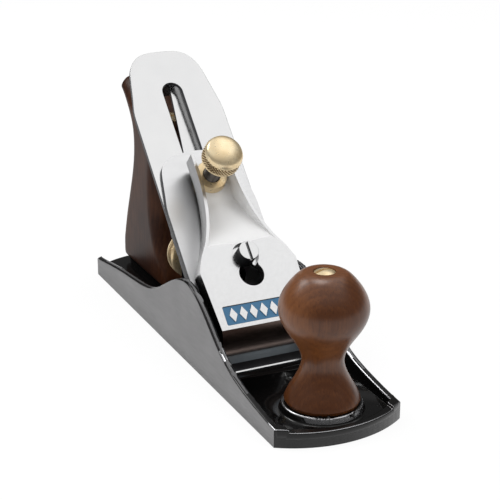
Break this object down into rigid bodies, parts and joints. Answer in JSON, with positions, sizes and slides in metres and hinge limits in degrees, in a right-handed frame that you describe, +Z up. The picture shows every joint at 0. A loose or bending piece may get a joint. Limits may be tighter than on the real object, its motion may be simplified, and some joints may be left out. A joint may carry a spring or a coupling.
{
  "type": "hand plane",
  "caption": "Bench smoothing plane with a cast sole, wooden knob and tote, bevel-down iron, cap iron, lever cap with thumb screw, and depth and lateral adjusters.",
  "frame": {"origin": "centre of the object's footprint on the plane of the sole", "axes": "+X forward to the toe, +Y to the user's left, +Z up"},
  "size_m": [0.2508, 0.064, 0.1322],
  "materials": {
    "ground_iron": "ground cheeks and sole, black enamel inside",
    "enamelled_iron": "black enamel",
    "yoke_iron": "blackened",
    "wood": "varnished",
    "brass": "polished",
    "steel": "machined",
    "polished_steel": "polished",
    "dark_steel": "blackened thread",
    "chrome": "polished"
  },
  "bodies": {
    "body": {"sole": "ground_iron", "front_knob": "wood", "knob_bolt": "steel", "knob_nut": "brass", "tote": "wood", "tote_bolt": "steel", "tote_nut": "brass", "frog_screws": "steel", "frog_washers": "steel"},
    "frog_body": {"frog": "enamelled_iron", "frog_clip": "steel", "frog_clip_screw": "steel", "yoke_pin": "steel", "lateral_pin": "steel", "lever_cap_screw": "steel"},
    "frog_adjuster": {"frog_adjust_screw": "steel"},
    "depth_stud": {"depth_screw": "steel"},
    "depth_wheel_body": {"depth_wheel": "brass"},
    "yoke_body": {"yoke": "yoke_iron"},
    "lateral_body": {"lateral_lever": "steel", "lateral_roller": "steel"},
    "iron_carrier": {"cap_iron_screw": "steel"},
    "iron_body": {"blade": "polished_steel", "cap_iron": "polished_steel"},
    "lever_cap_body": {"lever_cap": "chrome", "lever_cap_bush": "brass"},
    "thumb_stud_body": {"thumb_screw_stud": "dark_steel"},
    "thumb_knob_body": {"thumb_screw_knob": "brass"}
  },
  "joints": [
    {"name": "frog_slide", "type": "slide", "parent": "body", "child": "frog_body", "axis": [1, 0, 0], "range_m": [-0.0015, 0.0015]},
    {"name": "frog_adjust_spin", "type": "hinge", "parent": "frog_body", "child": "frog_adjuster", "pos_m": [-0.03, 0, 0.0094], "axis": [1, 0, 0], "range_deg": [-540.1, 540.1]},
    {"name": "depth_stud_travel", "type": "slide", "parent": "frog_body", "child": "depth_stud", "axis": [1, 0, 0], "range_m": [-0.001, 0.001]},
    {"name": "depth_wheel_spin", "type": "hinge", "parent": "depth_stud", "child": "depth_wheel_body", "pos_m": [-0.045, 0, 0.03], "axis": [1, 0, 0], "range_deg": [-360.3, 360.3]},
    {"name": "yoke_swing", "type": "hinge", "parent": "frog_body", "child": "yoke_body", "pos_m": [-0.01554, 0, 0.04137], "axis": [0, 1, 0], "range_deg": [-5.05, 5.05]},
    {"name": "lateral_swing", "type": "hinge", "parent": "frog_body", "child": "lateral_body", "pos_m": [-0.03569, 0, 0.07142], "axis": [0.7071, 0, 0.7071], "range_deg": [-4, 4]},
    {"name": "iron_feed", "type": "slide", "parent": "frog_body", "child": "iron_carrier", "axis": [-0.7071, 0, 0.7071], "range_m": [-0.00115, 0.00115]},
    {"name": "iron_skew", "type": "hinge", "parent": "iron_carrier", "child": "iron_body", "pos_m": [-0.0166, 0, 0.0594], "axis": [0.7071, 0, 0.7071], "range_deg": [-1.18, 1.18]},
    {"name": "lever_cap_slide", "type": "slide", "parent": "frog_body", "child": "lever_cap_body", "axis": [-0.7071, 0, 0.7071], "range_m": [0, 0.0101]},
    {"name": "thumb_stud_travel", "type": "slide", "parent": "lever_cap_body", "child": "thumb_stud_body", "axis": [0.7071, 0, 0.7071], "range_m": [0, 0.002]},
    {"name": "thumb_screw_spin", "type": "hinge", "parent": "thumb_stud_body", "child": "thumb_knob_body", "pos_m": [-0.00875, 0, 0.09397], "axis": [0.7071, 0, 0.7071], "range_deg": [0, 720.1]}
  ],
  "couplings": [
    {"joint": "frog_adjust_spin", "follows": "frog_slide", "rad_per_m": 6283.2},
    {"joint": "depth_wheel_spin", "follows": "iron_feed", "rad_per_m": 5451.4},
    {"joint": "depth_stud_travel", "follows": "iron_feed", "ratio": 0.86761},
    {"joint": "yoke_swing", "follows": "iron_feed", "rad_per_m": -76.336},
    {"joint": "iron_skew", "follows": "lateral_swing", "ratio": -0.29412},
    {"joint": "thumb_screw_spin", "follows": "thumb_stud_travel", "rad_per_m": 6283.2}
  ]
}
